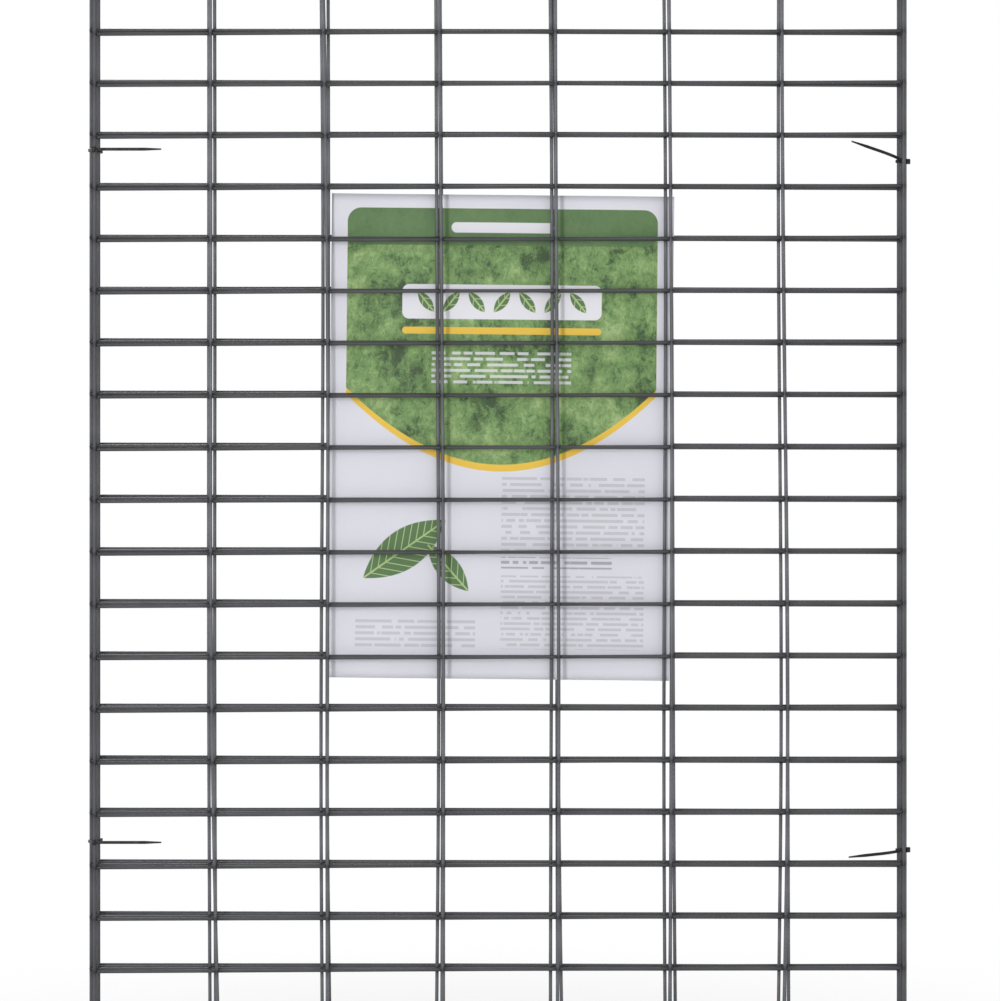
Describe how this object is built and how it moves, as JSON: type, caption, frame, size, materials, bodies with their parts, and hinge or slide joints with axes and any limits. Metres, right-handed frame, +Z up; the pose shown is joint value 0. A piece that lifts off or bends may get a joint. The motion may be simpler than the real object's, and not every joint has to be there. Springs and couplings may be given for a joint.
{
  "type": "leaf composter bin",
  "caption": "Leaf composter bin of welded wire mesh panels, hinged at the corners with cable ties, folded flat with a printed card tucked inside; it unfolds to a square bin.",
  "frame": {"origin": "middle of the folded stack's footprint, on the surface that the uprights stand on", "axes": "+X to the right along the panels as seen from the front, +Y from the front panel to the back of the stack, +Z up along the uprights"},
  "size_m": [0.7131, 0.032, 0.91],
  "materials": {
    "coated_wire": "dark grey coated steel wire, satin",
    "cable_tie": "black nylon, satin",
    "card": "printed coated card"
  },
  "bodies": {
    "front_panel": {"front_panel_left_edge_wire": "coated_wire", "front_panel_upright_2": "coated_wire", "front_panel_upright_3": "coated_wire", "front_panel_upright_4": "coated_wire", "front_panel_upright_5": "coated_wire", "front_panel_upright_6": "coated_wire", "front_panel_upright_7": "coated_wire", "front_panel_right_edge_wire": "coated_wire", "front_panel_bottom_wire": "coated_wire", "front_panel_cross_wires": "coated_wire", "front_panel_top_wire": "coated_wire", "front_left_lower_tie": "cable_tie", "front_left_upper_tie": "cable_tie"},
    "left_panel": {"left_panel_left_edge_wire": "coated_wire", "left_panel_upright_2": "coated_wire", "left_panel_upright_3": "coated_wire", "left_panel_upright_4": "coated_wire", "left_panel_upright_5": "coated_wire", "left_panel_upright_6": "coated_wire", "left_panel_upright_7": "coated_wire", "left_panel_right_edge_wire": "coated_wire", "left_panel_bottom_wire": "coated_wire", "left_panel_cross_wires": "coated_wire", "left_panel_top_wire": "coated_wire", "rear_left_lower_tie": "cable_tie", "rear_left_upper_tie": "cable_tie"},
    "rear_panel": {"rear_panel_left_edge_wire": "coated_wire", "rear_panel_upright_2": "coated_wire", "rear_panel_upright_3": "coated_wire", "rear_panel_upright_4": "coated_wire", "rear_panel_upright_5": "coated_wire", "rear_panel_upright_6": "coated_wire", "rear_panel_upright_7": "coated_wire", "rear_panel_right_edge_wire": "coated_wire", "rear_panel_bottom_wire": "coated_wire", "rear_panel_cross_wires": "coated_wire", "rear_panel_top_wire": "coated_wire", "rear_right_lower_tie": "cable_tie", "rear_right_upper_tie": "cable_tie"},
    "right_panel": {"right_panel_left_edge_wire": "coated_wire", "right_panel_upright_2": "coated_wire", "right_panel_upright_3": "coated_wire", "right_panel_upright_4": "coated_wire", "right_panel_upright_5": "coated_wire", "right_panel_upright_6": "coated_wire", "right_panel_upright_7": "coated_wire", "right_panel_right_edge_wire": "coated_wire", "right_panel_bottom_wire": "coated_wire", "right_panel_cross_wires": "coated_wire", "right_panel_top_wire": "coated_wire"},
    "card": {"printed_card": "card"}
  },
  "joints": [
    {"name": "front_left_fold", "type": "hinge", "parent": "front_panel", "child": "left_panel", "pos_m": [-0.3519, -0.00205, 0.455], "axis": [0, 0, 1], "range_deg": [0, 89]},
    {"name": "rear_left_fold", "type": "hinge", "parent": "left_panel", "child": "rear_panel", "pos_m": [0.3541, 0.00205, 0.455], "axis": [0, 0, 1], "range_deg": [-267, 0]},
    {"name": "rear_right_fold", "type": "hinge", "parent": "rear_panel", "child": "right_panel", "pos_m": [-0.3485, 0.01075, 0.455], "axis": [0, 0, 1], "range_deg": [0, 89]},
    {"name": "card_lift", "type": "slide", "parent": "left_panel", "child": "card", "axis": [0, 0, 1], "range_m": [0, 0.63]}
  ],
  "couplings": [
    {"joint": "rear_left_fold", "follows": "front_left_fold", "ratio": -3},
    {"joint": "rear_right_fold", "follows": "front_left_fold", "ratio": 1}
  ]
}
